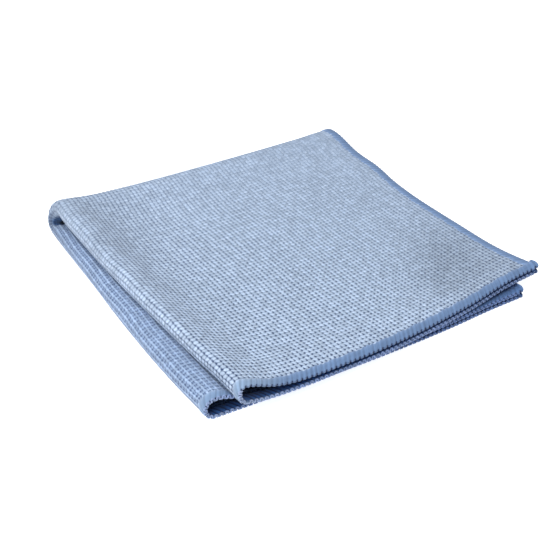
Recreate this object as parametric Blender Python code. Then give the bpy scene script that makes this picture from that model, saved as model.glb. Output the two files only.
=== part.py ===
"""Square microfibre cleaning cloth, folded twice into a quarter and lying flat.

The cloth is 400 mm square with an overlocked hem all round. The first fold halves it
into a strip two layers thick, and the second fold halves the strip, so four layers
lie on each other. The second fold runs a little off square, which turns the lower
pair of layers outwards at the front.

Metres, +Z up. +X runs from the rolled side of the first fold to the hemmed side
opposite it. +Y runs from the front hems to the second fold at the back. The origin is
the middle of the bounding box, at the height of the surface the cloth lies on.
"""

import math

import bpy
import numpy as np
from mathutils import Matrix

# Sizes of the flat cloth.
CUT = 0.400               # side of the square
CLOTH_T = 0.0017          # thickness of the pearl knit
HEM_W = 0.0055            # width of the overlocked band
HEM_T = 0.0022            # thickness of the overlocked band
HEM_STEP = 0.0012         # width over which the band thins to the knit
RIM_W = 0.0010            # width of the rounded rim of the band
RIM_T = 0.0012            # thickness at the very rim
HALF = CUT / 2

# The folded stack.
WIDTH = 0.196             # from the rolled side to the hems opposite it
SKEW = 0.0034             # how much the back fold is off square, each way from its middle
LAYER_GAP = 0.0006        # air between layers that lie on each other
BACK_DEPTH = 1.2          # how much deeper than high the back fold's bend is
HEM_RISE = 0.010          # how far in from a hem the layers still lie hem-thick apart
HEM_EASE = 0.014          # length over which they settle to cloth-thick
BOW_REACH = 0.100         # how far into the cloth the bow of the rolled side fades out
LIFT_REACH = 0.060        # how far in from the side hem its lift fades out
TURN_SPREAD = 0.020       # width of the strip where the lower roll passes into the upper

# Mesh rows: round a bend, and over the flat of the cloth out to its hem.
BEND_STEPS = 6
LEG_STEPS = 12
ROLL_BEND = 0.0080        # cloth used by a quarter turn of the rolled side, at most
BACK_BEND = 0.0105        # and by a quarter turn of the back fold
ROW_CROWDING = 0.45       # how evenly the flat rows are spaced: 1 is even, less is denser inside
MERGE = 0.0005            # edge distances closer than this count as the same row

# The rolled side of the first fold, from the back corner (0) to the front (1).
# out: how far the roll bows outwards; high: its height from mid-layer to mid-layer;
# ease: the distance from the roll at which its two layers have come half together.
ROLL_COLUMNS = ("along", "lower_out", "lower_high", "lower_ease",
                "upper_out", "upper_high", "upper_ease")
ROLL_ROWS = (
    (0.00, 0.0026, 0.0066, 0.016, 0.0000, 0.0104, 0.016),
    (0.10, 0.0042, 0.0084, 0.016, 0.0014, 0.0092, 0.016),
    (0.35, 0.0046, 0.0098, 0.015, 0.0034, 0.0084, 0.015),
    (0.60, 0.0048, 0.0102, 0.014, 0.0036, 0.0088, 0.014),
    (0.85, 0.0036, 0.0106, 0.014, 0.0018, 0.0094, 0.014),
    (1.00, 0.0010, 0.0108, 0.014, 0.0000, 0.0096, 0.014),
)

# The back fold, from the rolled corner (0) to the hemmed corner (1).
# radius: of the middle of the layer pair round the bend; ease: the distance from the
# bend at which the lower and the upper pair have come half together.
BACK_COLUMNS = ("along", "radius", "ease")
BACK_ROWS = (
    (0.00, 0.0058, 0.020),
    (0.14, 0.0060, 0.022),
    (0.35, 0.0057, 0.020),
    (0.65, 0.0051, 0.018),
    (1.00, 0.0052, 0.018),
)

# The hemmed side opposite the roll, from the back (0) to the front corner (1).
# pull: how far the hem is drawn in; lift: how far the two upper layers rise.
SIDE_COLUMNS = ("along", "pull", "lift")
SIDE_ROWS = (
    (0.00, -0.0008, 0.0000),
    (0.09, -0.0013, 0.0000),
    (0.20, 0.0024, 0.0000),
    (0.30, 0.0022, 0.0004),
    (0.40, 0.0042, 0.0000),
    (0.70, 0.0042, 0.0000),
    (0.87, 0.0032, 0.0010),
    (1.00, 0.0006, 0.0036),
)

# The front hems, from the rolled side (0) to the side opposite (1): how far the two
# pairs of layers reach past the place where a flat fold would put them.
FRONT_COLUMNS = ("along", "upper_reach", "lower_reach")
FRONT_ROWS = (
    (0.00, 0.0040, 0.0016),
    (0.25, 0.0062, 0.0028),
    (0.50, 0.0072, 0.0030),
    (0.75, 0.0036, 0.0010),
    (0.88, 0.0012, -0.0012),
    (1.00, 0.0004, -0.0022),
)

# Soft swells of the upper pair: place in plan, reach and height.
SWELL_COLUMNS = ("x", "y", "reach", "high")
SWELL_ROWS = (
    (0.060, 0.130, 0.045, 0.0007),
    (0.150, 0.150, 0.035, 0.0005),
)

# The fabric's colour (linear) and finish.
BLUE = (0.300, 0.430, 0.620, 1.0)
FABRIC_ROUGHNESS = 0.9


def column(rows, columns, name, along):
    """Read one column of a table at the places along, on a smooth curve."""
    at = np.array([row[columns.index("along")] for row in rows])
    value = np.array([row[columns.index(name)] for row in rows])
    slope = np.gradient(value, at)
    along = np.clip(along, at[0], at[-1])
    i = np.clip(np.searchsorted(at, along) - 1, 0, len(at) - 2)
    step = at[i + 1] - at[i]
    f = (along - at[i]) / step
    return (value[i] * (1 + 2 * f) * (1 - f) ** 2 + value[i + 1] * f * f * (3 - 2 * f)
            + step * slope[i] * f * (1 - f) ** 2 - step * slope[i + 1] * f * f * (1 - f))


def ease(f):
    """Fall smoothly from 1 at f = 0 to 0 at f = 1 and stay there."""
    f = np.clip(f, 0.0, 1.0)
    return (1 + 2 * f) * (1 - f) ** 2


def settle(f):
    """Fall from 1 at f = 0 like a bell, half way down at f = 1."""
    f = np.maximum(f, 0.0)
    return 1 / (1 + f * f)


def mix(a, b, f):
    return a + (b - a) * f


# The back fold is a line in plan: its left end, its direction and the direction from
# it into the stack.
FOLD_LENGTH = math.hypot(WIDTH, 2 * SKEW)
FOLD_START = (0.0, HALF + SKEW)
FOLD_ALONG = (WIDTH / FOLD_LENGTH, -2 * SKEW / FOLD_LENGTH)
FOLD_IN = (-2 * SKEW / FOLD_LENGTH, -WIDTH / FOLD_LENGTH)


def from_fold(x, y):
    """Distance of a plan point from the back fold, into the stack, and along the fold."""
    dx, dy = x - FOLD_START[0], y - FOLD_START[1]
    return dx * FOLD_IN[0] + dy * FOLD_IN[1], dx * FOLD_ALONG[0] + dy * FOLD_ALONG[1]


def strip_place(x, y):
    """Mirror a plan point over the back fold: where it lies across the unfolded strip,
    and how far it is from the lower pair's front hems."""
    off, _ = from_fold(x, y)
    return x - 2 * off * FOLD_IN[0], 2 * HALF - (y - 2 * off * FOLD_IN[1])


def rest_gap(x, front):
    """Mid-layer to mid-layer distance of layers that lie on each other, x across the
    strip and front in from its hems: hem-thick near a hem, cloth-thick further in."""
    inner = np.minimum(WIDTH - x, front)
    return mix(CLOTH_T, HEM_T, ease((inner - HEM_RISE) / HEM_EASE)) + LAYER_GAP


def pair_gap(x, front, which):
    """Mid-layer to mid-layer distance inside the lower or the upper pair: the roll's
    height at its side, settling to the rest distance."""
    along = 1 - front / HALF
    high = column(ROLL_ROWS, ROLL_COLUMNS, which + "_high", along)
    length = column(ROLL_ROWS, ROLL_COLUMNS, which + "_ease", along)
    return mix(rest_gap(x, front), high, settle((x - high / 2) / length))


def stack_heights(x, y):
    """Heights of the middles of the four layers over a plan point, lowest first."""
    low_x, low_front = strip_place(x, y)
    lower = pair_gap(low_x, low_front, "lower")
    upper = pair_gap(x, y, "upper")

    # The two pairs stand apart at the back fold and settle on each other.
    off, run = from_fold(x, y)
    radius = column(BACK_ROWS, BACK_COLUMNS, "radius", run / FOLD_LENGTH)
    length = column(BACK_ROWS, BACK_COLUMNS, "ease", run / FOLD_LENGTH)
    rest = np.maximum(rest_gap(low_x, low_front), rest_gap(x, y))
    bent = np.maximum(2 * radius - (lower + upper) / 2, rest)
    between = mix(rest, bent, settle((off - radius) / length))

    lift = column(SIDE_ROWS, SIDE_COLUMNS, "lift", 1 - y / HALF)
    between = between + lift * ease((WIDTH - x) / LIFT_REACH)
    for swell_x, swell_y, reach, high in SWELL_ROWS:
        far = ((x - swell_x) ** 2 + (y - swell_y) ** 2) / reach ** 2
        between = between + high * np.exp(-far)

    first = HEM_T / 2
    return first, first + lower, first + lower + between, first + lower + between + upper


def thickness(s, t):
    """Thickness of the flat cloth at a place: knit, overlocked band or its very rim."""
    edge = HALF - np.maximum(np.abs(s), np.abs(t))
    thick = np.where(edge > HEM_W + MERGE, CLOTH_T, HEM_T)
    return np.where(edge < MERGE, RIM_T, thick)


def folded(s, t):
    """Place points of the flat cloth's middle surface in the folded stack.

    s is the distance from the first fold, positive in the outer layer; t is the
    distance from the second fold, positive in the upper pair. Returns x, y, z arrays.
    """
    # First fold: a half circle, then two legs out to the hems.
    along = np.abs(t) / HALF
    low_high = column(ROLL_ROWS, ROLL_COLUMNS, "lower_high", along)
    up_high = column(ROLL_ROWS, ROLL_COLUMNS, "upper_high", along)
    turned = 1 - ease(t / TURN_SPREAD + 0.5)
    bend = mix(low_high, up_high, turned) / 2
    quarter = bend * math.pi / 2
    turn = np.clip(s / bend, -math.pi / 2, math.pi / 2)
    out = np.maximum(np.abs(s) - quarter, 0.0) / (HALF - quarter)
    pull = column(SIDE_ROWS, SIDE_COLUMNS, "pull", along)
    leg = mix(bend, WIDTH - pull * out ** 2, out)
    x = np.where(np.abs(s) < quarter, bend * (1 - np.cos(turn)), leg)
    level = np.sin(turn)

    # Bow of the rolled side.
    low_out = column(ROLL_ROWS, ROLL_COLUMNS, "lower_out", along)
    up_out = column(ROLL_ROWS, ROLL_COLUMNS, "upper_out", along)
    x = x - mix(low_out, up_out, turned) * ease(x / BOW_REACH)

    # Second fold: a half circle drawn deeper, then two legs out to the front hems.
    off, run = from_fold(x, HALF - t)
    radius = column(BACK_ROWS, BACK_COLUMNS, "radius", run / FOLD_LENGTH)
    quarter = radius * math.pi / 2
    swing = np.clip(off / radius, -math.pi / 2, math.pi / 2)
    side = np.clip(x / WIDTH, 0.0, 1.0)
    low_reach = column(FRONT_ROWS, FRONT_COLUMNS, "lower_reach", side)
    up_reach = column(FRONT_ROWS, FRONT_COLUMNS, "upper_reach", side)
    reach = mix(low_reach, up_reach, turned) + quarter - BACK_DEPTH * radius
    whole = np.abs(off) + HALF - np.abs(t) - quarter
    leg = np.maximum(np.abs(off) - quarter, 0.0)
    inward = BACK_DEPTH * radius * (1 - np.cos(swing)) + leg * (1 + reach / whole)
    plan_x = FOLD_START[0] + run * FOLD_ALONG[0] + inward * FOLD_IN[0]
    plan_y = FOLD_START[1] + run * FOLD_ALONG[1] + inward * FOLD_IN[1]

    # Across the bend the pair's middle goes round a half circle, and its half gap
    # stands out from it.
    first, second, third, fourth = stack_heights(plan_x, plan_y)
    rise = np.sin(swing)
    over = (rise + 1) / 2
    half = mix(second - first, fourth - third, over) / 2 * level
    middle = mix(first + second, third + fourth, over) / 2
    sway = half * np.cos(swing)
    # The lowest layer lies flat with its own underside on the surface.
    lowest = np.maximum(-rise, 0.0) * np.maximum(level, 0.0)
    sink = (HEM_T - thickness(s, t)) / 2 * lowest
    return plan_x - sway * FOLD_IN[0], plan_y - sway * FOLD_IN[1], middle + half * rise - sink


def rows_from_fold(bend):
    """Distances from a fold on both sides of it: rows round its bend, rows over the
    flat and the rows of the hem."""
    round_bend = np.linspace(0.0, bend, BEND_STEPS + 1)
    f = np.linspace(0.0, 1.0, LEG_STEPS + 1)[1:]
    flat = HALF - HEM_W - HEM_STEP - bend
    leg = bend + flat * (ROW_CROWDING * f + (1 - ROW_CROWDING) * f ** 2)
    hem = (HALF - HEM_W, HALF - HEM_W / 2, HALF - RIM_W, HALF)
    side = np.concatenate((round_bend, leg, hem))
    return np.concatenate((-side[:0:-1], side))


def fabric():
    """Blue knitted microfibre."""
    material = bpy.data.materials.new("blue_microfibre")
    material.use_nodes = True
    shader = material.node_tree.nodes["Principled BSDF"]
    shader.inputs["Base Color"].default_value = BLUE
    shader.inputs["Roughness"].default_value = FABRIC_ROUGHNESS
    shader.inputs["Metallic"].default_value = 0.0
    return material


def make_cloth():
    """The folded middle surface as one sheet, thickened to knit, band and rim."""
    s, t = np.meshgrid(rows_from_fold(ROLL_BEND), rows_from_fold(BACK_BEND), indexing="ij")
    points = np.stack(folded(s, t), axis=-1).reshape(-1, 3)
    corner = np.arange(points.shape[0]).reshape(s.shape)
    faces = np.stack((corner[:-1, :-1], corner[:-1, 1:], corner[1:, 1:], corner[1:, :-1]),
                     axis=-1).reshape(-1, 4)
    mesh = bpy.data.meshes.new("cloth")
    mesh.from_pydata(points.tolist(), [], faces.tolist())
    mesh.materials.append(fabric())
    cloth = bpy.data.objects.new("cloth", mesh)
    bpy.context.collection.objects.link(cloth)

    thick = thickness(s, t).ravel()
    group = cloth.vertex_groups.new(name="thickness")
    for value in np.unique(thick):
        members = np.nonzero(thick == value)[0].tolist()
        group.add(members, float(value / HEM_T), "REPLACE")
    wall = cloth.modifiers.new("thickness", "SOLIDIFY")
    wall.thickness = HEM_T
    wall.offset = 0.0
    wall.vertex_group = group.name
    wall.use_rim = True
    wall.use_even_offset = False
    mesh.shade_smooth()
    return cloth


def centre(cloth):
    """Move the middle of the solid's plan to the origin."""
    solid = cloth.evaluated_get(bpy.context.evaluated_depsgraph_get())
    box = np.array([tuple(corner) for corner in solid.bound_box])
    middle = (box.min(axis=0) + box.max(axis=0)) / 2
    cloth.data.transform(Matrix.Translation((-middle[0], -middle[1], 0.0)))


for thing in list(bpy.data.objects):
    bpy.data.objects.remove(thing)

centre(make_cloth())
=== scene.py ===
"""Looks of the folded microfibre cloth: pearl knit, overlocked hem, soft light and camera.

The cloth lies on the fold of its solid. A place on the flat cloth is (s, t): s is the distance
from the first fold, positive in the outer layer, and t the distance from the second fold,
positive in the upper pair of layers. The fold turns it into a point of the middle surface and
a direction out of the outer face, and the knit and the hem stand on that.

Metres, +Z up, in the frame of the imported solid.
"""

import math

import bpy
import numpy as np
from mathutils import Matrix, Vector


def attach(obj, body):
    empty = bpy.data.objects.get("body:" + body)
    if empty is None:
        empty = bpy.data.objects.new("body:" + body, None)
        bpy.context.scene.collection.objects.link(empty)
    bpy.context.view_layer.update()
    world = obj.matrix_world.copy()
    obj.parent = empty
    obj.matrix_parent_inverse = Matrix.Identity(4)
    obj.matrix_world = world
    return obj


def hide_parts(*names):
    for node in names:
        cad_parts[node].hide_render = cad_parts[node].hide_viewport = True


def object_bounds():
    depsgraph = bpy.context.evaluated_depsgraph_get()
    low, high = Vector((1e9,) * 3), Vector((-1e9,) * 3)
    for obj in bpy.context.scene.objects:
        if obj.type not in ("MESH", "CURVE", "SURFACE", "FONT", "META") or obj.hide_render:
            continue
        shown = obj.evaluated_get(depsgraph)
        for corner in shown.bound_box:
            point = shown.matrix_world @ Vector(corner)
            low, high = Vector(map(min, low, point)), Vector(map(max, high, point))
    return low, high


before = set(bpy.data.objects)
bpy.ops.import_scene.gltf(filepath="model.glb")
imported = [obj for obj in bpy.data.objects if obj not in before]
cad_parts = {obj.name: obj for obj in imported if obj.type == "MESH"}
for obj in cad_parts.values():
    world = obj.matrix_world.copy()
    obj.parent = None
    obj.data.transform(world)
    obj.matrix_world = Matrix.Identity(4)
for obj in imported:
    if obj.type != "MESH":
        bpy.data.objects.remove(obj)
CAD_LOW, CAD_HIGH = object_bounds()

# -------------------- the flat cloth
CUT = 0.400               # side of the square
HALF = CUT / 2
CLOTH_T = 0.0017          # thickness of the pearl knit
HEM_W = 0.0055            # width of the overlocked band
HEM_T = 0.0022            # thickness of the overlocked band
HEM_STEP = 0.0012         # width over which the band thins to the knit

# -------------------- the folded stack
WIDTH = 0.196             # from the rolled side to the hems opposite it
SKEW = 0.0034             # how much the back fold is off square, each way from its middle
LAYER_GAP = 0.0006        # air between layers that lie on each other
BACK_DEPTH = 1.2          # how much deeper than high the back fold's bend is
HEM_RISE = 0.010          # how far in from a hem the layers still lie hem-thick apart
HEM_EASE = 0.014          # length over which they settle to cloth-thick
BOW_REACH = 0.100         # how far into the cloth the bow of the rolled side fades out
LIFT_REACH = 0.060        # how far in from the side hem its lift fades out
ROLL_SAG = 0.42           # power of the cosine that bends the under side of the upper roll
SAG_FROM = 0.025          # and how far from the second fold it has set in
TUCK = 0.0075             # how much deeper the inner pair is tucked at the rolled back corner
TUCK_REACH = 0.026        # how far that reaches along the roll,
TUCK_TURN = 0.008         # over what length it sets in round the first fold
TUCK_FADE = 0.040         # and how far into the cloth it fades out
TURN_SPREAD = 0.020       # width of the strip where the lower roll passes into the upper

# The rolled side of the first fold, from the back corner (0) to the front (1).
# out: how far the roll bows outwards; high: its height from mid-layer to mid-layer;
# ease: the distance from the roll at which its two layers have come half together.
ROLL_TABLE = (
    ("along", "lower_out", "lower_high", "lower_ease", "upper_out", "upper_high", "upper_ease"),
    (0.00, 0.0034, 0.0042, 0.016, 0.0000, 0.0078, 0.016),
    (0.10, 0.0044, 0.0080, 0.016, 0.0014, 0.0090, 0.016),
    (0.35, 0.0046, 0.0098, 0.015, 0.0034, 0.0084, 0.015),
    (0.60, 0.0048, 0.0102, 0.014, 0.0036, 0.0088, 0.014),
    (0.85, 0.0030, 0.0106, 0.014, 0.0020, 0.0094, 0.014),
    (1.00, 0.0004, 0.0108, 0.014, 0.0006, 0.0096, 0.014),
)

# The back fold, from the rolled corner (0) to the hemmed corner (1).
# radius: of the middle of the layer pair round the bend; ease: the distance from the
# bend at which the lower and the upper pair have come half together.
BACK_TABLE = (
    ("along", "radius", "ease"),
    (0.00, 0.0066, 0.010),
    (0.14, 0.0068, 0.018),
    (0.35, 0.0062, 0.020),
    (0.65, 0.0055, 0.018),
    (1.00, 0.0051, 0.018),
)

# The hemmed side opposite the roll, from the back (0) to the front corner (1).
# pull: how far the hem is drawn in; lift: how far the two upper layers rise.
SIDE_TABLE = (
    ("along", "pull", "lift"),
    (0.00, 0.0004, 0.0000),
    (0.09, -0.0014, 0.0000),
    (0.20, 0.0003, 0.0000),
    (0.30, 0.0007, 0.0004),
    (0.40, 0.0032, 0.0000),
    (0.70, 0.0036, 0.0000),
    (0.87, 0.0028, 0.0010),
    (1.00, -0.0010, 0.0027),
)

# The front hems, from the rolled side (0) to the side opposite (1): how far the two
# pairs of layers reach past the place where a flat fold would put them.
FRONT_TABLE = (
    ("along", "upper_reach", "lower_reach"),
    (0.00, 0.0038, 0.0010),
    (0.25, 0.0060, 0.0022),
    (0.50, 0.0070, 0.0027),
    (0.75, 0.0036, 0.0014),
    (0.88, 0.0012, -0.0004),
    (1.00, 0.0010, -0.0012),
)

# Soft swells of the upper pair: place in plan, reach and height.
SWELL_ROWS = (
    (0.060, 0.130, 0.045, 0.0007),
    (0.150, 0.150, 0.035, 0.0005),
)

# Painted shade: patches on the flat cloth made darker where little light comes, and the hollow
# between the rolls painted dark: place, reach and the share of brightness lost.
PAINTED_SHADE_ROWS = (
    # along the hemmed side
    (0.180, 0.140, 0.014, 0.05),
    (0.167, 0.158, 0.014, 0.14),
    (0.148, 0.176, 0.014, 0.12),
    (0.190, 0.168, 0.040, 0.19),
    (0.168, 0.184, 0.018, 0.07),
    # behind the upper roll
    (0.028, 0.025, 0.016, 0.10),
    (0.026, 0.060, 0.016, 0.08),
    (0.022, 0.100, 0.016, 0.05),
    # on the rolls, near their back corner
    (0.000, 0.010, 0.028, 0.15),
    (0.004, 0.060, 0.020, 0.10),
    (0.002, -0.030, 0.028, 0.12),
    # painted shade in the hollow between the rolls
    (-0.0085, -0.006, 0.0065, 0.93),
    (-0.0070, 0.004, 0.0045, 0.55),
)
PAINTED_SHADE_LEAST = 0.04          # the share of brightness that is left anywhere

# -------------------- the knit
PEARL_ROWS = 77           # rows of pearls from a fold to its hem, side by side
PEARLS = 80               # pearls in a row from a fold to its hem
ROW_PITCH = HALF / PEARL_ROWS
PEARL_PITCH = HALF / PEARLS
PIT_HALF = 0.00040        # half the thickness of the cloth down in a pit,
PEARL_HALF = CLOTH_T / 2  # over the top of a pearl,
LINING_HALF = 0.9 * PEARL_HALF  # on the inner face
UNDER_HEM_HALF = 0.00055  # and inside the overlocked band
UNDER_HEM_STEP = 0.0012   # width over which it thins to that

# The groove between two rows, with a pit from each touch of two pearls side by side to
# the next, and the notch between two pearls of a row.
ROW_SHARP = 2.6           # how narrow the groove is
TAIL = 0.42               # how far a pit has fallen right after a touch,
PIT_PEAK = 0.57           # where it is deepest, in pearls past the touch,
PIT_END = 0.81            # and where it has risen to the next touch
PIT_LEAN = 0.06           # how far across the row a pit leans over its length, in rows
NOTCH_SHARP = 2.0         # how narrow the notch is
NOTCH_LATE = 0.10         # how far past the middle between two touches it is, in pearls
PEARL_LEAN = -0.35        # how far along the row a pearl leans over its width, in pearls
PEARL_JITTER = 0.22       # how uneven the pearls' heights are
SEED = 7

# The share of a pit's depth that is left where two rows touch.
TOUCH_BACK = 0.68         # where the folds meet,
TOUCH_SIDEWAYS = 0.8      # how much more a metre further from the first fold,
TOUCH_FALL = 2.7          # how much less a metre further to the front,
TOUCH_LEAST = 0.15        # the least of it,
TOUCH_MOST = 0.85         # the most of it,
TOUCH_ROLL = 0.60         # and what it is round the first fold

# The share of a pit's depth between two pearls of a row.
NOTCH = 0.48              # on the flat of the upper pair,
NOTCH_ROLL = 0.30         # how much more of it round the first fold,
NOTCH_LOWER = 0.55        # and how much is left of it on the lower pair

# How deep the pits are.
OPEN_BACK = 0.02          # at the hemmed back corner,
OPEN_RISE = 4.75          # how much deeper a metre further from it,
OPEN_SIDEWAYS = 0.58      # how much a step towards the roll counts for that,
OPEN_ROLL = 0.30          # how much shallower round the first fold,
OPEN_LOWER = 1.00         # and how deep on the lower pair
OPEN_MIDDLE = 0.60        # the height in a pearl that stays where it is
ROLL_REACH = 0.012        # how far what the first fold does to the knit reaches from it

# The wide grooves of the lower pair, in which a pale line shows.
LINED_WIDE = 0.8          # how narrow they are
LINED_DEPTH = 1.25        # how deep their sides are,
LINE = 0.80               # how much of that the line takes away
LINE_SHARP = 5.0          # and how narrow it is

# Slow waves in which the knit strays from straight lines: how far, the rows and the
# pearls over which a wave turns by a radian, and its phase.
SWAY_ROWS = ((0.16, 17.0, 6.1, 0.0), (0.10, -9.0, 2.9, 1.3))
SWAY_PEARLS = ((0.20, 7.3, -15.0, 0.7), (0.12, 3.1, 11.0, 0.0))
SWAY_RISE = 4             # how steeply they set in from the hems

# Painted shade: how deep the blue is, from 0 to 1, where light goes from layer to layer.
DEEP_LOWER = 0.50         # on the lower pair,
DEEP_CREASE = 0.20        # how much deeper in the crease between the rolls,
CREASE_IN = 0.001         # how far in from the upper roll's outermost line it starts
CREASE_WIDE = 0.0035      # and over what width it sets in,
DEEP_UPPER = 0.90         # how deep on the under side of the upper roll,
SEEN_UPPER = -0.004       # where that starts
SEEN_EASE = 0.010         # and over what length it sets in,
DEEP_HOLLOW = 3.0         # how much deeper in the hollow between the rolls,
HOLLOW_SHADE_BELOW = 0.60         # which is where the painted shade leaves less brightness than this
LINING_SHADE = 0.35       # how dark the lining is, as light comes to it through the mouths only

# The same painted shade on the hem:
HEM_DEEP = 0.47           # on the hem's outer face, on the flat of the cloth,
HEM_DEEP_LOWER = 0.18     # how much deeper on the lower pair
HEM_DEEP_UNDER = 0.06     # and how much deeper still where that lies under the upper one
HEM_ROUND = 0.006         # it is pale round the rolls out to this distance from the fold
HEM_ROUND_EASE = 0.030    # and has its full depth this much further
HEM_UNDER = 0.525         # past this share of the way round the hem's section it is deep,
HEM_UNDER_RISE = 8.0      # and how steeply that sets in

# Where each pearl has the vertices that draw it, and how coarse the hidden layer is.
ROW_STEPS = 4             # steps across a row
PEARL_STEPS = 3           # steps along a pearl
HIDDEN_STEPS = 12         # steps over the inner layer of each pair
LINING_STEPS = 60         # steps over the inner face of the folded pair
SHOWN_PAST_FOLD = 8       # rows shown beyond the first fold
SEAM_PEARL = -5.5         # the pearl past the second fold where the two halves meet
SEAM_CLEAR = 0.1          # a pearl's vertices keep this clear of the ends of its row, in pearls
KNIT_EDGE = 0.0020        # how far inside the rim the knit ends, covered by the hem

# -------------------- the overlocked hem
STITCH = 0.00285          # distance from one stitch to the next
STITCH_STEPS = 8
SLANT = 0.60              # how far a thread strays along the hem on its way in from the rim
LOOP_REACH = 0.00035      # how far the loops stand out past the rim
LOOP_DEPTH = 0.00095      # how deep the notches between them cut in
SIDE_LOOP = 0.35          # how strong the loops are on the hems opposite the roll
NOTCH_REACH = 0.0015      # how far the notches run in over the band
NOTCH_SINK = 0.65         # share of the band's thickness lost in a notch at the rim
RAGGED = 0.00040          # how uneven the inner line of the band is,
RAGGED_WIDE = 0.001       # how wide a strip of the band follows it,
RAGGED_TURN = 1.7         # and by how much its slower wave turns from stitch to stitch
KNOB_REACH = 0.0040       # the hem thickens over this length into a knob at each corner
KNOB_GROW = 0.90          # by this share
KNOB_SPREAD = 0.45        # and widens by this,
KNOB_ROUND = 0.0034       # and its end is rounded over this length
KNOB_TIP = 0.02           # and closes to this share, squared
KNOB_LIFT = 0.6           # how far a pair's lower knob is lifted, in halves of what it gains,
KNOB_LIFT_TOP = 1.6       # and how far the one on top of it
CHAIN_R = 0.00046         # radius of the thread that chains the stitches along the rim
CHAIN_WRAP = 1.15         # how far round the rim it swings to each side, in radians
CHAIN_IN = 0.00085        # how far in from the rim the middle of its swing is,
CHAIN_SWING = 0.00085     # how far out from there the thread runs,
CHAIN_LEAN = 0.12         # and how far it leans along the rim, in stitches
CHAIN_END = 0.003         # where it goes under the loops, past the first fold
CHAIN_STEPS = 8           # steps a stitch
CHAIN_SIDES = 6

# Half of the hem's section, from the inner line of the band to its rim: distance in
# from the rim and height over the middle surface.
HEM_PROFILE = (
    (0.00560, 0.00045),
    (0.00530, 0.00090),
    (0.00460, 0.00106),
    (0.00340, 0.00110),
    (0.00200, 0.00108),
    (0.00120, 0.00090),
    (0.00065, 0.00068),
    (0.00025, 0.00036),
)

# -------------------- light and camera
CAMERA_AT = (-0.3002, -0.4424, 0.3619)
CAMERA_AIM = (-0.0096, -0.0164, 0.0)
CAMERA_LENS = 72.064
SKY = (0.74, 0.86, 1.0, 1.0)
SKY_STRENGTH = 0.32
KEY = (1.0, 0.97, 0.93)
KEY_AT = (-0.35, -0.05, 0.78)
KEY_SIZE = 0.9
KEY_POWER = 11.8
FLOOR_REACH = 14.0
FLOOR_GREY = (0.72, 0.72, 0.72, 1.0)
FLOOR_GLOW = (1.0, 1.0, 1.0, 1.0)
FLOOR_GLOW_STRENGTH = 0.85

# -------------------- working out
DIFFERENCE = 0.0002       # step of the central differences


# ==================== the fold
def column(table, name, along):
    """One column of a table at the places along: a cubic curve through its rows, whose
    slope at each row is that of the table."""
    names, *rows = table
    at = np.array([row[names.index("along")] for row in rows])
    value = np.array([row[names.index(name)] for row in rows])
    slope = np.gradient(value, at)
    along = np.clip(along, at[0], at[-1])
    i = np.clip(np.searchsorted(at, along) - 1, 0, len(at) - 2)
    step = at[i + 1] - at[i]
    f = (along - at[i]) / step
    return (value[i] * (1 + 2 * f) * (1 - f) ** 2 + value[i + 1] * f * f * (3 - 2 * f)
            + step * slope[i] * f * (1 - f) ** 2 - step * slope[i + 1] * f * f * (1 - f))


def ease(f):
    """Fall smoothly from 1 at f = 0 to 0 at f = 1 and stay there."""
    f = np.clip(f, 0.0, 1.0)
    return (1 + 2 * f) * (1 - f) ** 2


def settle(f):
    """Fall from 1 at f = 0 like a bell, half way down at f = 1."""
    f = np.maximum(f, 0.0)
    return 1 / (1 + f * f)


def mix(a, b, f):
    """From a at f = 0 to b at f = 1 in a straight line."""
    return a + (b - a) * f


def bells(x, y, rows):
    """A sum of round bell curves, from rows of their place, reach and height."""
    return sum(high * np.exp(-((x - at_x) ** 2 + (y - at_y) ** 2) / reach ** 2)
               for at_x, at_y, reach, high in rows)


# The back fold is a line in plan: its left end, its direction and the direction from
# it into the stack.
FOLD_LENGTH = math.hypot(WIDTH, 2 * SKEW)
FOLD_START = (0.0, HALF + SKEW)
FOLD_ALONG = (WIDTH / FOLD_LENGTH, -2 * SKEW / FOLD_LENGTH)
FOLD_IN = (-2 * SKEW / FOLD_LENGTH, -WIDTH / FOLD_LENGTH)


def from_fold(x, y):
    """Distance of a plan point from the back fold, into the stack, and along the fold."""
    dx, dy = x - FOLD_START[0], y - FOLD_START[1]
    return dx * FOLD_IN[0] + dy * FOLD_IN[1], dx * FOLD_ALONG[0] + dy * FOLD_ALONG[1]


def strip_place(x, y):
    """A plan point mirrored over the back fold: where it lies across the unfolded strip,
    and how far it is from the lower pair's front hems."""
    off, _ = from_fold(x, y)
    return x - 2 * off * FOLD_IN[0], 2 * HALF - (y - 2 * off * FOLD_IN[1])


def rest_gap(x, front):
    """Mid-layer to mid-layer distance of layers that lie on each other, x across the
    strip and front in from its hems: hem-thick near a hem, cloth-thick further in."""
    inner = np.minimum(WIDTH - x, front)
    return mix(CLOTH_T, HEM_T, ease((inner - HEM_RISE) / HEM_EASE)) + LAYER_GAP


def pair_gap(x, front, which):
    """Mid-layer to mid-layer distance inside the lower or the upper pair: the roll's
    height at its side, settling to the rest distance."""
    along = 1 - front / HALF
    high = column(ROLL_TABLE, which + "_high", along)
    length = column(ROLL_TABLE, which + "_ease", along)
    return mix(rest_gap(x, front), high, settle((x - high / 2) / length))


def stack_heights(x, y):
    """Heights of the middles of the four layers over a plan point, lowest first."""
    low_x, low_front = strip_place(x, y)
    lower = pair_gap(low_x, low_front, "lower")
    upper = pair_gap(x, y, "upper")

    off, run = from_fold(x, y)
    radius = column(BACK_TABLE, "radius", run / FOLD_LENGTH)
    length = column(BACK_TABLE, "ease", run / FOLD_LENGTH)
    rest = np.maximum(rest_gap(low_x, low_front), rest_gap(x, y))
    bent = np.maximum(2 * radius - (lower + upper) / 2, rest)
    between = mix(rest, bent, settle((off - radius) / length))

    lift = column(SIDE_TABLE, "lift", 1 - y / HALF)
    between = between + lift * ease((WIDTH - x) / LIFT_REACH) + bells(x, y, SWELL_ROWS)
    first = HEM_T / 2
    return first, first + lower, first + lower + between, first + lower + between + upper


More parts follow.
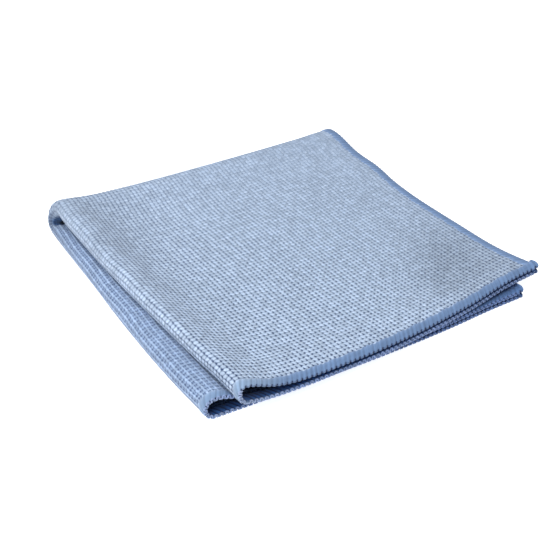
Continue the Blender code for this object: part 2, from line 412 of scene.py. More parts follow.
def thickness(s, t):
    """Thickness of the flat cloth: the knit's, rising to the band's just inside the hem."""
    edge = HALF - np.maximum(np.abs(s), np.abs(t))
    return mix(HEM_T, CLOTH_T, np.clip((edge - HEM_W) / HEM_STEP, 0.0, 1.0))


def turned_up(t):
    """From 0 on the lower pair to 1 on the upper one, over a strip round the second fold."""
    return 1 - ease(t / TURN_SPREAD + 0.5)


def of_pair(table, name, along, t):
    """A column of a table for the lower pair that passes into the same for the upper one."""
    return mix(column(table, "lower_" + name, along), column(table, "upper_" + name, along),
               turned_up(t))


def rolled(s, t):
    """The first fold, a half circle between two legs that run out to the hems. Returns how
    far across the strip a place comes, and its level: 1 in the outer layer, -1 in the inner
    one and the sine of the turn between them."""
    along = np.abs(t) / HALF
    bend = of_pair(ROLL_TABLE, "high", along, t) / 2
    quarter = bend * math.pi / 2
    turn = np.clip(s / bend, -math.pi / 2, math.pi / 2)
    out = np.maximum(np.abs(s) - quarter, 0.0) / (HALF - quarter)
    pull = column(SIDE_TABLE, "pull", along)
    leg = mix(bend, WIDTH - pull * out ** 2, out)
    # The upper roll sags on the layer below: its under side is squarer than a circle.
    sag = np.where((s < 0) & (t > 0), mix(ROLL_SAG, 1.0, ease(t / SAG_FROM)), 1.0)
    x = np.where(np.abs(s) < quarter, bend * (1 - np.maximum(np.cos(turn), 0.0) ** sag), leg)
    # Bow of the rolled side.
    return x - of_pair(ROLL_TABLE, "out", along, t) * ease(x / BOW_REACH), np.sin(turn)


def folded(s, t):
    """The middle surface in the folded stack. The second fold takes the rolled strip round
    a half circle that is drawn deeper, between two legs that run out to the front hems, with
    the heights of the stack. Returns x, y, z arrays."""
    x, level = rolled(s, t)
    off, run = from_fold(x, HALF - t)
    radius = column(BACK_TABLE, "radius", run / FOLD_LENGTH)
    quarter = radius * math.pi / 2
    swing = np.clip(off / radius, -math.pi / 2, math.pi / 2)
    side = np.clip(x / WIDTH, 0.0, 1.0)
    reach = of_pair(FRONT_TABLE, "reach", side, t) + quarter - BACK_DEPTH * radius
    whole = np.abs(off) + HALF - np.abs(t) - quarter
    leg = np.maximum(np.abs(off) - quarter, 0.0)
    inward = BACK_DEPTH * radius * (1 - np.cos(swing)) + leg * (1 + reach / whole)
    tucked = ease(np.abs(t) / TUCK_REACH) * (1 - ease(-s / TUCK_TURN)) * ease(x / TUCK_FADE)
    inward = inward + TUCK * tucked
    plan_x, plan_y = (FOLD_START[k] + run * FOLD_ALONG[k] + inward * FOLD_IN[k] for k in (0, 1))

    # Across the bend the pair's middle goes round a half circle, and its half gap
    # stands out from it.
    first, second, third, fourth = stack_heights(plan_x, plan_y)
    rise = np.sin(swing)
    over = (rise + 1) / 2
    half = mix(second - first, fourth - third, over) / 2 * level
    middle = mix(first + second, third + fourth, over) / 2
    sway = half * np.cos(swing)
    # The lowest layer lies flat with its own underside on the surface.
    lowest = np.maximum(-rise, 0.0) * np.maximum(level, 0.0)
    sink = (HEM_T - thickness(s, t)) / 2 * lowest
    return plan_x - sway * FOLD_IN[0], plan_y - sway * FOLD_IN[1], middle + half * rise - sink


def fold_centre():
    """The middle in plan of the folded cloth, hem included, before it is put in the frame."""
    s, t = np.meshgrid(np.linspace(-HALF, HALF, 201), np.linspace(-HALF, HALF, 201))
    x, y, _ = folded(s, t)
    grow = HEM_T / 2
    return ((x.min() - grow + x.max()) / 2, (y.min() + y.max() + grow) / 2)


SHIFT = np.array(fold_centre()) - np.array([(CAD_LOW[k] + CAD_HIGH[k]) / 2 for k in (0, 1)])


def surface(s, t):
    """Points of the middle surface in the frame, and the unit vectors out of the outer
    face, along s and along t, from central differences."""
    def at(s, t):
        x, y, z = folded(s, t)
        return np.stack((x - SHIFT[0], y - SHIFT[1], z), axis=-1)

    def unit(v):
        return v / np.linalg.norm(v, axis=-1, keepdims=True)

    along_s = at(s + DIFFERENCE, t) - at(s - DIFFERENCE, t)
    along_t = at(s, t + DIFFERENCE) - at(s, t - DIFFERENCE)
    return at(s, t), unit(np.cross(along_t, along_s)), unit(along_s), unit(along_t)


# ==================== meshes
def grid_faces(index):
    """Quads of a grid of vertex numbers, facing the way of the outer face."""
    return np.stack((index[:-1, :-1], index[:-1, 1:], index[1:, 1:], index[1:, :-1]),
                    axis=-1).reshape(-1, 4)


def rim_sides(index, rows, columns):
    """The four sides of a grid in the order that its outer quads run them: the vertex
    numbers of each and how far along the side they are, rising from 0 to 1."""
    def share(at):
        return (at - at[0]) / (at[-1] - at[0])

    return ((index[0, :], share(columns)),
            (index[:, -1], share(rows)),
            (index[-1, ::-1], share(-columns[::-1])),
            (index[::-1, 0], share(-rows[::-1])))


def zipped(outer, inner):
    """Triangles that close the wall between two rows of vertices. The next triangle takes
    its step on the row that is behind, so that no two cross."""
    a, a_at = outer
    b, b_at = inner
    met = np.searchsorted(b_at[1:], a_at[1:], side="left")
    on_a = np.stack((a[1:], a[:-1], b[met]), axis=-1)
    met = np.searchsorted(a_at[1:], b_at[1:], side="right")
    on_b = np.stack((b[:-1], b[1:], a[met]), axis=-1)
    return np.concatenate((on_a, on_b))


def make_mesh(name, points, faces, maps, values):
    """A mesh from points, from faces given as arrays of vertex numbers, from UV maps given
    as a pair of numbers for each point, and from single values for each point. Smooth
    shaded, and flat where it lies on the surface below."""
    mesh = bpy.data.meshes.new(name)
    points = np.maximum(points, (-math.inf, -math.inf, 0.0))
    corners = np.concatenate([f.ravel() for f in faces])
    sizes = np.concatenate([np.full(len(f), f.shape[1]) for f in faces])
    mesh.vertices.add(len(points))
    mesh.vertices.foreach_set("co", points.astype(np.float32).ravel())
    mesh.loops.add(len(corners))
    mesh.loops.foreach_set("vertex_index", corners.astype(np.int32))
    mesh.polygons.add(len(sizes))
    starts = np.concatenate(((0,), np.cumsum(sizes)[:-1]))
    mesh.polygons.foreach_set("loop_start", starts.astype(np.int32))
    mesh.polygons.foreach_set("loop_total", sizes.astype(np.int32))
    for map_name, pairs in maps.items():
        layer = mesh.uv_layers.new(name=map_name)
        layer.data.foreach_set("uv", pairs[corners].astype(np.float32).ravel())
    for value_name, value in values.items():
        layer = mesh.attributes.new(value_name, "FLOAT", "POINT")
        layer.data.foreach_set("value", np.asarray(value, np.float32))
    mesh.update(calc_edges=True)
    mesh.validate()
    mesh.shade_smooth()
    thing = bpy.data.objects.new(name, mesh)
    bpy.context.collection.objects.link(thing)
    return thing


# ==================== the knit
def swaying(row, pearl, waves):
    """A sum of slow sine waves over the knit."""
    return sum(far * np.sin(row / by_row + pearl / by_pearl + phase)
               for far, by_row, by_pearl, phase in waves)


def wander(row, pearl):
    """How far the knit's rows and pearls stray from straight lines, in rows and pearls:
    slow waves that die out at the hems."""
    calm = ease(np.abs(row) / PEARL_ROWS) * ease(np.abs(pearl) / PEARLS)
    fade = np.minimum(1.0, SWAY_RISE * calm)
    return swaying(row, pearl, SWAY_ROWS) * fade, swaying(row, pearl, SWAY_PEARLS) * fade


def pearl_height(row, pearl, touch, parted):
    """Height of the knit, from 0 in a pit to 1 on a pearl. The groove between two rows is
    a power of a cosine wave. From one touch of two pearls side by side to the next it falls
    and rises in straight lines, and the notch between two pearls is another power of a
    cosine. Pits lean across the row and pearls along it."""
    def wave(at):
        return (1 - np.cos(2 * math.pi * at)) / 2

    part = pearl - np.floor(pearl)
    groove = wave(row + PIT_LEAN * (part - 0.5)) ** ROW_SHARP
    pit = np.minimum(mix(TAIL, 1.0, part / PIT_PEAK), (PIT_END - part) / (PIT_END - PIT_PEAK))
    leant = pearl - NOTCH_LATE + PEARL_LEAN * (row - np.rint(row))
    notch = parted * wave(leant) ** NOTCH_SHARP * (1 - groove)
    return 1 - groove * mix(touch, 1.0, np.maximum(pit, 0.0)) - notch


def rounding(s):
    """How much the first fold bends the knit: a bell curve, 1 on the fold."""
    return np.exp(-(s / ROLL_REACH) ** 2)


def openness(s, t):
    """How deep the pits are: shallow at the hemmed back corner, where the knit is pressed
    flat, ever deeper towards the roll and the front, and shallower again round the first
    fold, where the pearls spread over them."""
    away = np.abs(t) + OPEN_SIDEWAYS * (HALF - np.abs(s))
    upper = (OPEN_BACK + OPEN_RISE * away) * (1 - OPEN_ROLL * rounding(s))
    return mix(OPEN_LOWER, upper, turned_up(t))


def touching(s, t):
    """The share of a pit's depth that is left where two rows touch: nearly all at the back,
    where the grooves are lines, and little at the front, where they are rows of pits."""
    left = TOUCH_BACK + TOUCH_SIDEWAYS * np.abs(s) - TOUCH_FALL * np.abs(t)
    return mix(np.clip(left, TOUCH_LEAST, TOUCH_MOST), TOUCH_ROLL, rounding(s))


def parting(s, t):
    """The share of a pit's depth between two pearls of a row, which the first fold opens on
    the upper pair."""
    return NOTCH * mix(NOTCH_LOWER, 1 + NOTCH_ROLL * rounding(s), turned_up(t))


def painted_shade_brightness(s, t):
    """Brightness left by painted shade: less in patches that fall off in bell curves."""
    return np.maximum(1 - bells(s, t, PAINTED_SHADE_ROWS), PAINTED_SHADE_LEAST)


def painted_shade_depth(s, t):
    """Painted shade, as how deep the blue of the outer face is: 0 on the upper pair but for the under
    side of its roll, more on the lower one, more still in the crease between the two rolls, where
    that lies inside the outermost line of the upper one, and most in the hollow there."""
    point, edge = surface(s, t)[0], surface(np.zeros_like(s), np.abs(t))[0]
    inside = 1 - ease((point[..., 0] - edge[..., 0] - CREASE_IN) / CREASE_WIDE)
    lower = DEEP_LOWER + DEEP_CREASE * inside
    upper = DEEP_UPPER * (1 - ease((SEEN_UPPER - s) / SEEN_EASE))
    hollow = 1 - np.minimum(painted_shade_brightness(s, t) / HOLLOW_SHADE_BELOW, 1.0)
    return mix(lower, upper, turned_up(t)) + DEEP_HOLLOW * hollow


def pearl_chance(row, pearl, chance):
    """One random number for each whole pearl, the same at all of its points."""
    i = np.rint(row).astype(int) % chance.shape[0]
    j = np.rint(pearl).astype(int) % chance.shape[1]
    return chance[i, j]


def knit_rows(pearl_first, pearl_last):
    """Row and pearl numbers of the outer face's vertices: rows are dense from a little past
    the first fold out to the hem, and coarse over the inner layer."""
    end = (HALF - KNIT_EDGE) / ROW_PITCH
    shown = np.arange(-SHOWN_PAST_FOLD * ROW_STEPS, int(end * ROW_STEPS) + 1) / ROW_STEPS
    hidden = np.linspace(-end, -SHOWN_PAST_FOLD, HIDDEN_STEPS + 1)[:-1]
    rows = np.concatenate((hidden, shown, (end,)))
    first, last = pearl_first * PEARL_STEPS, pearl_last * PEARL_STEPS
    pearls = np.arange(math.ceil(first), math.floor(last) + 1) / PEARL_STEPS
    inside = pearls[(pearls > pearl_first + SEAM_CLEAR) & (pearls < pearl_last - SEAM_CLEAR)]
    return rows, np.concatenate(((pearl_first,), inside, (pearl_last,)))


def knit_half(name, pearl_first, pearl_last, chance):
    """One half of the knitted cloth as a closed thin shell. The outer face stands over the
    middle surface by the height of its pearls, the lining face lies evenly under it, and a
    wall closes the rim between them, where the hem covers it."""
    rows, pearls = knit_rows(pearl_first, pearl_last)
    row, pearl = np.meshgrid(rows, pearls, indexing="ij")
    stray_row, stray_pearl = wander(row, pearl)
    s, t = (row + stray_row) * ROW_PITCH, (pearl + stray_pearl) * PEARL_PITCH
    point, out, _, _ = surface(s, t)
    height = pearl_height(row, pearl, touching(s, t), parting(s, t))
    height = OPEN_MIDDLE + (height - OPEN_MIDDLE) * openness(s, t)
    uneven = 1 - PEARL_JITTER * pearl_chance(row, pearl, chance)
    high = mix(PIT_HALF, PEARL_HALF, height * uneven)
    edge = HALF - np.maximum(np.abs(s), np.abs(t))
    clear = np.clip((edge - HEM_W) / UNDER_HEM_STEP + 0.5, 0.0, 1.0)
    high = mix(UNDER_HEM_HALF, high, clear)
    outer = (point + out * high[..., None]).reshape(-1, 3)
    outer_index = np.arange(row.size).reshape(row.shape)

    lining_rows = np.linspace(rows[0], rows[-1], LINING_STEPS * 2 + 1)
    lining_pearls = np.linspace(pearls[0], pearls[-1], LINING_STEPS + 1)
    lining_row, lining_pearl = np.meshgrid(lining_rows, lining_pearls, indexing="ij")
    lining_s, lining_t = lining_row * ROW_PITCH, lining_pearl * PEARL_PITCH
    point, out, _, _ = surface(lining_s, lining_t)
    lining = (point - out * LINING_HALF).reshape(-1, 3)
    lining_index = np.arange(lining_row.size).reshape(lining_row.shape) + row.size

    faces = [grid_faces(outer_index), grid_faces(lining_index)[:, ::-1]]
    walls = [zipped(outside, inside) for outside, inside
             in zip(rim_sides(outer_index, rows, pearls),
                    rim_sides(lining_index, lining_rows, lining_pearls))]
    faces.append(np.concatenate(walls))
    knit_map = np.stack((np.append(row, lining_row), np.append(pearl, lining_pearl)), axis=-1)
    depths = (("opened", openness), ("touch", touching), ("parted", parting))
    values = {kept: np.append(depth(s, t), depth(lining_s, lining_t)) for kept, depth in depths}
    inside = np.ones(lining_s.size)
    # Painted shade: a deeper blue where little light comes and darker patches; the lining is tinted and
    # darkened throughout.
    values["deep"] = np.append(painted_shade_depth(s, t), inside)
    values["lined"] = np.append(1 - turned_up(t), inside)
    values["painted_shade"] = np.append(painted_shade_brightness(s, t), LINING_SHADE * inside)
    return make_mesh(name, np.concatenate((outer, lining)), faces, {"knit": knit_map}, values)


# ==================== the hem
def hem_painted_shade_depth(s, t):
    """Painted shade on the hem's outer face, as how deep its blue is: little round the rolls and
    more on the flat of the cloth, and more again on the lower pair."""
    flat = 1 - ease((np.abs(s) - HEM_ROUND) / HEM_ROUND_EASE)
    return HEM_DEEP * flat + np.where(t < 0, HEM_DEEP_LOWER + HEM_DEEP_UNDER * flat, 0.0)


def knob_growth(left, knob):
    """How much of its growth a knob has this far from its end: a bell curve."""
    return knob * np.exp(-(left / KNOB_REACH) ** 2)


def hem_section(along, left, loops, knob):
    """The hem's section at each place along a side, as distances in from the rim and heights,
    from the inner line of the band over the rim to the inner line below. The rim swells
    into a half-round loop at each stitch, and the notches between the loops cut in from the
    rim, deepest there and fading over the band. At a corner the section thickens by a bell
    curve and closes as a round."""
    upper = np.array(HEM_PROFILE)
    profile = np.concatenate((upper, upper[::-1] * (1, -1)))
    inward, high = profile[None, :, 0], profile[None, :, 1]
    stitch = along / STITCH
    lobe = mix(1.0, np.sqrt(1 - (2 * (stitch % 1.0) - 1) ** 2), loops)
    near = np.clip(1 - inward / NOTCH_REACH, 0.0, 1.0)
    inner = np.clip((inward - HEM_W) / RAGGED_WIDE + 1, 0.0, 1.0)
    uneven = np.cos(2 * math.pi * stitch) + np.sin(RAGGED_TURN * stitch)
    inward = inward + near * (LOOP_DEPTH * (1 - lobe) - LOOP_REACH * lobe) + inner * RAGGED * uneven
    high = high * (1 - NOTCH_SINK * near * (1 - lobe))

    grow = knob_growth(left, knob)
    tip = 1 - np.maximum(1 - left / KNOB_ROUND, 0.0) ** 2
    round_end = mix(1.0, np.sqrt(np.maximum(tip, KNOB_TIP)), knob)
    middle = HEM_W / 2
    inward = middle + (inward - middle) * (1 + KNOB_SPREAD * grow) * round_end
    return inward, high * (1 + KNOB_GROW * grow) * round_end


def bar(points, stitch, deep, backwards):
    """A closed bar from rings of points, as the parts that joined takes. Its faces are
    turned round where its rings run backwards."""
    index = np.arange(points.shape[0] * points.shape[1]).reshape(points.shape[:2])
    quads = grid_faces(np.concatenate((index, index[:, :1]), axis=1))
    caps = np.stack((index[0, ::-1], index[-1]))
    if backwards:
        quads, caps = quads[:, ::-1], caps[:, ::-1]
    across = np.linspace(0, 1, index.shape[1])
    pairs = np.stack(np.broadcast_arrays(stitch, across), axis=-1)
    return points.reshape(-1, 3), quads, caps, pairs.reshape(-1, 2), deep.ravel()


def hem_side(side, sign, end, loops, knob):
    """One side of the overlocked hem as a closed bar: its section is carried along the side,
    each ring slanting as the threads do."""
    count = round(2 * end / STITCH * STITCH_STEPS)
    along = np.linspace(-end, end, count + 1)[:, None]
    left = end - np.abs(along)
    inward, high = hem_section(along, left, loops, knob)
    slant = SLANT * (sign if side == "t" else -sign)
    place = along + slant * inward * ease((HEM_W - left) / HEM_W)
    reach = sign * (HALF - np.maximum(inward, 0.0))
    s, t = (reach, place) if side == "s" else (place, reach)
    point, out, along_s, along_t = surface(s, t)
    outward = sign * (along_s if side == "s" else along_t)
    past = np.maximum(-inward, 0.0)
    point = point + out * high[..., None] + outward * past[..., None]
    # The knobs of the four corners lie on each other.
    lift = np.where((s > 0) == (t > 0), KNOB_LIFT_TOP, KNOB_LIFT)
    point[..., 2] += lift * KNOB_GROW * HEM_T / 2 * knob_growth(left, knob)

    # Painted shade: past HEM_UNDER of the way round its section the hem takes the deepest blue.
    across = np.linspace(0, 1, inward.shape[1])
    under = np.clip(HEM_UNDER_RISE * (across - HEM_UNDER), 0.0, 1.0)
    deep = mix(hem_painted_shade_depth(s, t), 1.0, under)
    return bar(point, along / STITCH, deep, backwards=(side == "s") == (sign > 0))


def chain_side(sign):
    """The thread chained along one front rim, as a closed tube. Its middle line swings round
    the rim, from above to below and back at each stitch, as a cosine."""
    end = HALF - KNOB_ROUND
    count = round(2 * end / STITCH * CHAIN_STEPS)
    along = np.linspace(-end, end, count + 1)
    along = along[along < CHAIN_END] if sign > 0 else along
    stitch = along / STITCH
    swing = -CHAIN_WRAP * np.cos(2 * math.pi * stitch)
    inward = CHAIN_IN - CHAIN_SWING * np.cos(swing)
    high = CHAIN_SWING * np.sin(swing)
    along = along + CHAIN_LEAN * STITCH * np.sin(4 * math.pi * stitch)
    t = np.full_like(along, sign * HALF)
    point, out, _, outward = surface(along, t)
    line = point + out * high[:, None] - sign * outward * inward[:, None]
    tangent = np.gradient(line, axis=0)
    tangent /= np.linalg.norm(tangent, axis=1, keepdims=True)
    first = np.cross(tangent, out)
    first /= np.linalg.norm(first, axis=1, keepdims=True)
    second = np.cross(tangent, first)
    angle = np.linspace(0, 2 * math.pi, CHAIN_SIDES, endpoint=False)[None, :, None]
    tube = line[:, None] + CHAIN_R * (first[:, None] * np.cos(angle) + second[:, None] * np.sin(angle))
    # The hem's painted shade, carried on to the chain.
    deep = hem_painted_shade_depth(along, t).repeat(CHAIN_SIDES)
    return bar(tube, stitch[:, None], deep, backwards=True)


def joined(name, parts):
    """One mesh from several parts of points, quads, end caps, map pairs and depths of painted shade."""
    points, quads, caps, pairs, deeps = zip(*parts)
    starts = np.cumsum([0] + [len(point) for point in points])
    faces = [np.concatenate([part + start for part, start in zip(kind, starts)])
             for kind in (quads, caps)]
    return make_mesh(name, np.concatenate(points), faces, {"stitch": np.concatenate(pairs)},
                     {"deep": np.concatenate(deeps)})


def make_chain():
    """The chain threads of the two front hems in one mesh. The upper hem's goes under the
    loops where it passes on to the top layer."""
    return joined("hem_chain", [chain_side(sign) for sign in (1, -1)])


def make_hem():
    """The four sides of the hem in one mesh. The sides at the front run out to the corners
    and end in knobs there, and the sides opposite the roll end inside them."""
    front = [hem_side("t", sign, HALF, loops=1, knob=1) for sign in (1, -1)]
    short = HALF - HEM_W / 2
    opposite = [hem_side("s", sign, short, loops=SIDE_LOOP, knob=0) for sign in (1, -1)]
    return joined("hem", front + opposite)


# ==================== materials
def set_inputs(tree, node, inputs):
    """Set a node's inputs, and link those that are given as sockets."""
    for key, value in dict(inputs).items():
        if isinstance(value, bpy.types.NodeSocket):
            tree.links.new(value, node.inputs[key])
        else:
            node.inputs[key].default_value = value


def wired(tree, kind, inputs=(), **settings):
    """A new shader node of this kind with its settings and its inputs."""
    node = tree.nodes.new("ShaderNode" + kind)
    for name, value in settings.items():
        setattr(node, name, value)
    set_inputs(tree, node, inputs)
    return node


def maths(tree, operation, *values):
    """The result of a Math node on sockets and numbers."""
    return wired(tree, "Math", enumerate(values), operation=operation).outputs[0]


def times(tree, a, b):
    """The product of two numbers."""
    return maths(tree, "MULTIPLY", a, b)


def minus(tree, a, b):
    """The difference of two numbers."""
    return maths(tree, "SUBTRACT", a, b)


def vector_node(tree, operation, *values):
    """The result of a Vector Math node on sockets and vectors."""
    return wired(tree, "VectorMath", enumerate(values), operation=operation).outputs[0]


def stored(tree, name):
    """The number that the mesh keeps for each of its points under this name."""
    return wired(tree, "Attribute", attribute_name=name).outputs["Fac"]


def split(tree, vector):
    """The first two numbers of a vector."""
    return wired(tree, "SeparateXYZ", {0: vector}).outputs[:2]


def spread(tree, value, first, last):
    """Value taken from 0..1 to first..last in a straight line."""
    return maths(tree, "MULTIPLY_ADD", value, last - first, first)


def mixed(tree, share, a, b):
    """The number between a and b by share."""
    return maths(tree, "MULTIPLY_ADD", minus(tree, b, a), share, a)


def trough(tree, coordinate, power):
    """0 at whole numbers rising to 1 half way between them, as (1 - cos) / 2 to a power."""
    turn = times(tree, coordinate, 2 * math.pi)
    wave = maths(tree, "MULTIPLY_ADD", maths(tree, "COSINE", turn), -0.5, 0.5)
    return maths(tree, "POWER", wave, power)


def blended(tree, share, a, b, how="MIX"):
    """Colour a blended to colour b by share."""
    return wired(tree, "Mix", {0: share, 6: a, 7: b}, data_type="RGBA", blend_type=how).outputs[2]


def ramped(tree, value, low, high):
    """Map value from low..high to 0..1, smoothly and clamped."""
    return wired(tree, "MapRange", {0: value, 1: low, 2: high, 3: 0.0, 4: 1.0},
                 interpolation_type="SMOOTHSTEP").outputs[0]


def shaded(tree, colour, shade):
    """Colour made darker or lighter by shade, which is 1 where it stays."""
    grey = wired(tree, "CombineColor", {0: shade, 1: shade, 2: shade}).outputs[0]
    return blended(tree, 1.0, colour, grey, "MULTIPLY")


def noise(tree, where, scale, detail):
    """Soft noise around 0.5 at this many bumps a metre or a map unit."""
    node = wired(tree, "TexNoise", {"Vector": where, "Scale": scale, "Detail": detail})
    return node.outputs["Fac"]


def chance_of(tree, number):
    """A random number from 0 to 1, the same all round each whole number."""
    return wired(tree, "TexWhiteNoise", {"W": maths(tree, "ROUND", number)},
                 noise_dimensions="1D").outputs["Value"]


PEARL_BLUE = (0.370, 0.465, 0.615, 1.0)
PAINTED_HIGHLIGHT_PALE = (0.560, 0.660, 0.800, 1.0)
PIT_PAINTED_SHADE = (0.006, 0.023, 0.090, 1.0)
HEM_BLUE = (0.205, 0.300, 0.450, 1.0)
HEM_PALE = (0.310, 0.410, 0.570, 1.0)
PAINTED_NAVY_SHADE = (0.006, 0.015, 0.085, 1.0)
PAINTED_SHADE_TINT = (0.12, 0.31, 0.62, 1.0)
CHAIN_BLUE = (0.31, 0.40, 0.62, 1.0)

FIBRES = 2600.0           # fibres a metre
THREADS = 4.0             # threads a stitch, side by side
TWISTS = 6.0              # turns of the chain's thread a stitch
STRAY = (0.4, 0.4, 0.0)   # how far the look strays from the shape, in rows and pearls


def new_material(name):
    """A new material with its node tree and its shader."""
    material = bpy.data.materials.new(name)
    material.use_nodes = True
    return material, material.node_tree, material.node_tree.nodes["Principled BSDF"]


def finish_cloth(tree, shader, colour, relief, strength, depth, roughness, specular, sheen):
    """Give a shader its colour, its relief as a bump of this strength and depth in metres,
    and the dull gloss of fabric."""
    bump = wired(tree, "Bump", {"Strength": strength, "Distance": depth, "Height": relief})
    set_inputs(tree, shader, {"Base Color": colour, "Normal": bump.outputs[0],
                              "Roughness": roughness, "Specular IOR Level": specular,
                              "Sheen Weight": sheen, "Sheen Roughness": 0.5})


def knit_groove(tree, row, part):
    """The groove between two rows, narrow on the upper pair. On the lower pair it is wide,
    with a pale line in it."""
    lean = minus(tree, part, 0.5)
    groove = trough(tree, maths(tree, "MULTIPLY_ADD", lean, PIT_LEAN, row), power=1.0)
    line = times(tree, maths(tree, "POWER", groove, LINE_SHARP), LINE)
    wide = times(tree, maths(tree, "POWER", groove, LINED_WIDE), LINED_DEPTH)
    wide = minus(tree, wide, line)
    narrow = maths(tree, "POWER", groove, ROW_SHARP)
    return mixed(tree, stored(tree, "lined"), narrow, wide)


def knit_height(tree, row, pearl):
    """The formula of pearl_height as nodes, with the depths that the mesh keeps."""
    part = maths(tree, "FRACT", pearl)
    groove = knit_groove(tree, row, part)
    fall = maths(tree, "MULTIPLY_ADD", part, (1 - TAIL) / PIT_PEAK, TAIL)
    rise = maths(tree, "DIVIDE", minus(tree, PIT_END, part), PIT_END - PIT_PEAK)
    pit = maths(tree, "MAXIMUM", maths(tree, "MINIMUM", fall, rise), 0.0)
    depth = mixed(tree, pit, stored(tree, "touch"), 1.0)
    lean = minus(tree, row, maths(tree, "ROUND", row))
    late = minus(tree, pearl, NOTCH_LATE)
    leant = maths(tree, "MULTIPLY_ADD", lean, PEARL_LEAN, late)
    crest = minus(tree, 1.0, groove)
    notch = times(tree, trough(tree, leant, NOTCH_SHARP), crest)
    height = minus(tree, 1.0, times(tree, notch, stored(tree, "parted")))
    height = minus(tree, height, times(tree, groove, depth))
    off = minus(tree, height, OPEN_MIDDLE)
    return maths(tree, "MULTIPLY_ADD", off, stored(tree, "opened"), OPEN_MIDDLE)


def pearl_knit():
    """Blue microfibre in pearl knit: light pearls over grooves and pits in painted shade, each pearl
    a little lighter or darker than the next, some with a painted highlight, with a fine fibrous
    relief; painted shade deepens the blue and darkens patches where little light comes."""
    material, tree, shader = new_material("pearl_knit")
    place = wired(tree, "UVMap", uv_map="knit").outputs[0]
    rough = wired(tree, "TexNoise", {"Vector": place, "Scale": 1.3, "Detail": 1.0})
    rough = vector_node(tree, "SUBTRACT", rough.outputs["Color"], (0.5, 0.5, 0.5))
    row, pearl = split(tree, vector_node(tree, "MULTIPLY_ADD", rough, STRAY, place))
    height = knit_height(tree, row, pearl)

    whole = vector_node(tree, "FLOOR", vector_node(tree, "ADD", place, (0.5, 0.5, 0.0)))
    chance = wired(tree, "TexWhiteNoise", {0: whole}, noise_dimensions="3D")
    solid = wired(tree, "TexCoord").outputs["Object"]
    cloud = noise(tree, solid, scale=55.0, detail=3.0)
    fibre = noise(tree, solid, scale=FIBRES, detail=3.0)
    highlight_noise = noise(tree, place, scale=2.2, detail=1.0)

    # Painted shade: grooves and pits darken towards a deep blue as the knit's height falls.
    lit = ramped(tree, height, low=-0.10, high=0.90)
    colour = blended(tree, lit, PIT_PAINTED_SHADE, PEARL_BLUE)
    # Painted highlight: pale spots on the pearls' tops.
    painted_highlight = times(tree, ramped(tree, highlight_noise, low=0.50, high=0.70), lit)
    colour = blended(tree, spread(tree, painted_highlight, first=0.0, last=0.55), colour, PAINTED_HIGHLIGHT_PALE)
    shade = spread(tree, chance.outputs["Value"], first=0.85, last=1.11)
    shade = times(tree, shade, spread(tree, cloud, first=0.92, last=1.08))
    # Painted shade: the darker patches and the darkened lining.
    shade = times(tree, shade, stored(tree, "painted_shade"))
    colour = shaded(tree, colour, shade)
    # Painted shade: a deeper blue where little light comes, less of it on the pearls' tops.
    deep = times(tree, stored(tree, "deep"), spread(tree, lit, first=1.0, last=0.55))
    colour = blended(tree, deep, colour, PAINTED_SHADE_TINT, "MULTIPLY")
    relief = maths(tree, "MULTIPLY_ADD", fibre, 0.35, height)
    finish_cloth(tree, shader, colour, relief, strength=0.6, depth=0.0003,
                 roughness=0.9, specular=0.25, sheen=0.12)
    return material


def overlock_thread():
    """Smooth blue thread laid side by side across the band, paler at its inner line, with painted
    shade along the rim and in the notches there. Half a stitch further on, the under side has
    notches of painted shade of its own."""
    material, tree, shader = new_material("overlock_thread")
    stitch, across = split(tree, wired(tree, "UVMap", uv_map="stitch").outputs[0])
    under = ramped(tree, across, low=0.50, high=0.60)
    near = maths(tree, "ABSOLUTE", minus(tree, across, 0.5))
    near = maths(tree, "MAXIMUM", ramped(tree, near, low=0.15, high=0.04),
                 spread(tree, under, first=0.0, last=0.75))
    wave = trough(tree, maths(tree, "ADD", stitch, spread(tree, under, first=0.5, last=1.0)), power=2.2)
    notch = times(tree, wave, near)
    rim = maths(tree, "ABSOLUTE", minus(tree, across, 0.52))
    rim = spread(tree, ramped(tree, rim, low=0.10, high=0.04), first=0.0, last=0.35)
    # Painted shade in the notches, along the rim and over the under side.
    gap = maths(tree, "MAXIMUM", notch, rim)
    fine = times(tree, stitch, THREADS)
    threads = trough(tree, fine, power=1.0)
    solid = wired(tree, "TexCoord").outputs["Object"]
    fibre = noise(tree, solid, scale=FIBRES, detail=3.0)
    cloud = noise(tree, solid, scale=120.0, detail=2.0)

    # The notches' wave darkens the band further as painted shade; the threads give their stripes.
    shade = maths(tree, "MULTIPLY_ADD", wave, -0.20, spread(tree, threads, first=1.12, last=0.96))
    shade = times(tree, shade, spread(tree, cloud, first=0.85, last=1.15))
    shade = times(tree, shade, spread(tree, chance_of(tree, fine), first=0.88, last=1.12))
    colour = blended(tree, ramped(tree, across, low=0.03, high=0.26), HEM_PALE, HEM_BLUE)
    colour = shaded(tree, blended(tree, gap, colour, PAINTED_NAVY_SHADE), shade)
    # Painted shade: a deeper blue on the lower pair and on the hem's under side.
    colour = blended(tree, stored(tree, "deep"), colour, PAINTED_SHADE_TINT, "MULTIPLY")
    relief = minus(tree, times(tree, fibre, 0.4), threads)
    finish_cloth(tree, shader, colour, relief, strength=0.5, depth=0.0002,
                 roughness=0.8, specular=0.3, sheen=0.2)
    return material


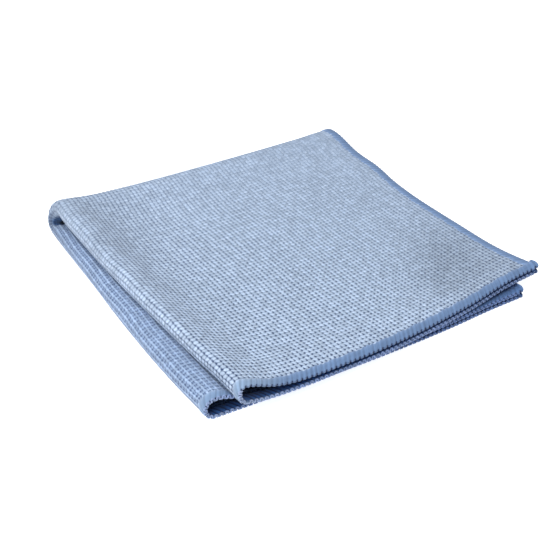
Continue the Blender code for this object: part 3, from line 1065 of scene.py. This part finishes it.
def chain_thread():
    """Blue thread with a twist, seen as fine slanting lines of painted shade in its grooves."""
    material, tree, shader = new_material("chain_thread")
    stitch, round_it = split(tree, wired(tree, "UVMap", uv_map="stitch").outputs[0])
    twist = trough(tree, maths(tree, "MULTIPLY_ADD", stitch, TWISTS, round_it), power=1.0)
    colour = blended(tree, spread(tree, twist, first=0.0, last=0.20), CHAIN_BLUE, PAINTED_NAVY_SHADE)
    colour = shaded(tree, colour, spread(tree, chance_of(tree, stitch), first=0.85, last=1.15))
    # Painted shade: the hem's deeper blue.
    colour = blended(tree, stored(tree, "deep"), colour, PAINTED_SHADE_TINT, "MULTIPLY")
    relief = minus(tree, 0.0, twist)
    finish_cloth(tree, shader, colour, relief, strength=0.4, depth=0.0001,
                 roughness=0.7, specular=0.5, sheen=0.2)
    return material


def pale_floor():
    """Even, very pale floor that glows, so that the cloth's shadow hardly shows."""
    material, tree, shader = new_material("pale_floor")
    set_inputs(tree, shader, {"Base Color": FLOOR_GREY, "Emission Color": FLOOR_GLOW,
                              "Emission Strength": FLOOR_GLOW_STRENGTH,
                              "Roughness": 0.9, "Specular IOR Level": 0.1})
    return material


# ==================== the scene
def make_cloth():
    """The knitted cloth in two halves that meet under the second fold, and its hem."""
    chance = np.random.default_rng(SEED).random((2 * PEARL_ROWS + 1, 2 * PEARLS + 1))
    end = (HALF - KNIT_EDGE) / PEARL_PITCH
    upper = knit_half("cloth_upper", SEAM_PEARL, end, chance)
    lower = knit_half("cloth_lower", -end, SEAM_PEARL, chance)
    hem, chain = make_hem(), make_chain()
    knit = pearl_knit()
    upper.data.materials.append(knit)
    lower.data.materials.append(knit)
    hem.data.materials.append(overlock_thread())
    chain.data.materials.append(chain_thread())
    for piece in (upper, lower, hem, chain):
        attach(piece, "root")
        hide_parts("cloth")


def make_floor():
    """A wide square of floor at the height the cloth lies on."""
    signs = ((-1, -1), (1, -1), (1, 1), (-1, 1))
    corners = [(x * FLOOR_REACH, y * FLOOR_REACH, 0.0) for x, y in signs]
    mesh = bpy.data.meshes.new("floor")
    mesh.from_pydata(corners, [], [(0, 1, 2, 3)])
    mesh.materials.append(pale_floor())
    floor = bpy.data.objects.new("floor", mesh)
    bpy.context.collection.objects.link(floor)


def placed(name, data, at, aim):
    """A light or a camera at a place, turned to another."""
    thing = bpy.data.objects.new(name, data)
    thing.location = at
    thing.rotation_euler = (Vector(aim) - Vector(at)).to_track_quat("-Z", "Y").to_euler()
    bpy.context.collection.objects.link(thing)
    return thing


def make_light():
    """An even pale sky, and a large soft light high on the rolled side."""
    world = bpy.data.worlds.new("studio")
    world.use_nodes = True
    set_inputs(world.node_tree, world.node_tree.nodes["Background"],
               {"Color": SKY, "Strength": SKY_STRENGTH})
    bpy.context.scene.world = world
    light = bpy.data.lights.new("key", "AREA")
    light.shape = "SQUARE"
    light.size = KEY_SIZE
    light.energy = KEY_POWER
    light.color = KEY
    placed("key", light, KEY_AT, (0, 0, 0))


def make_camera():
    """The camera at the photograph's angle."""
    camera = bpy.data.cameras.new("camera")
    camera.lens = CAMERA_LENS
    bpy.context.scene.camera = placed("camera", camera, CAMERA_AT, CAMERA_AIM)
    bpy.context.scene.view_settings.view_transform = "Standard"


make_floor()
make_cloth()
make_light()
make_camera()
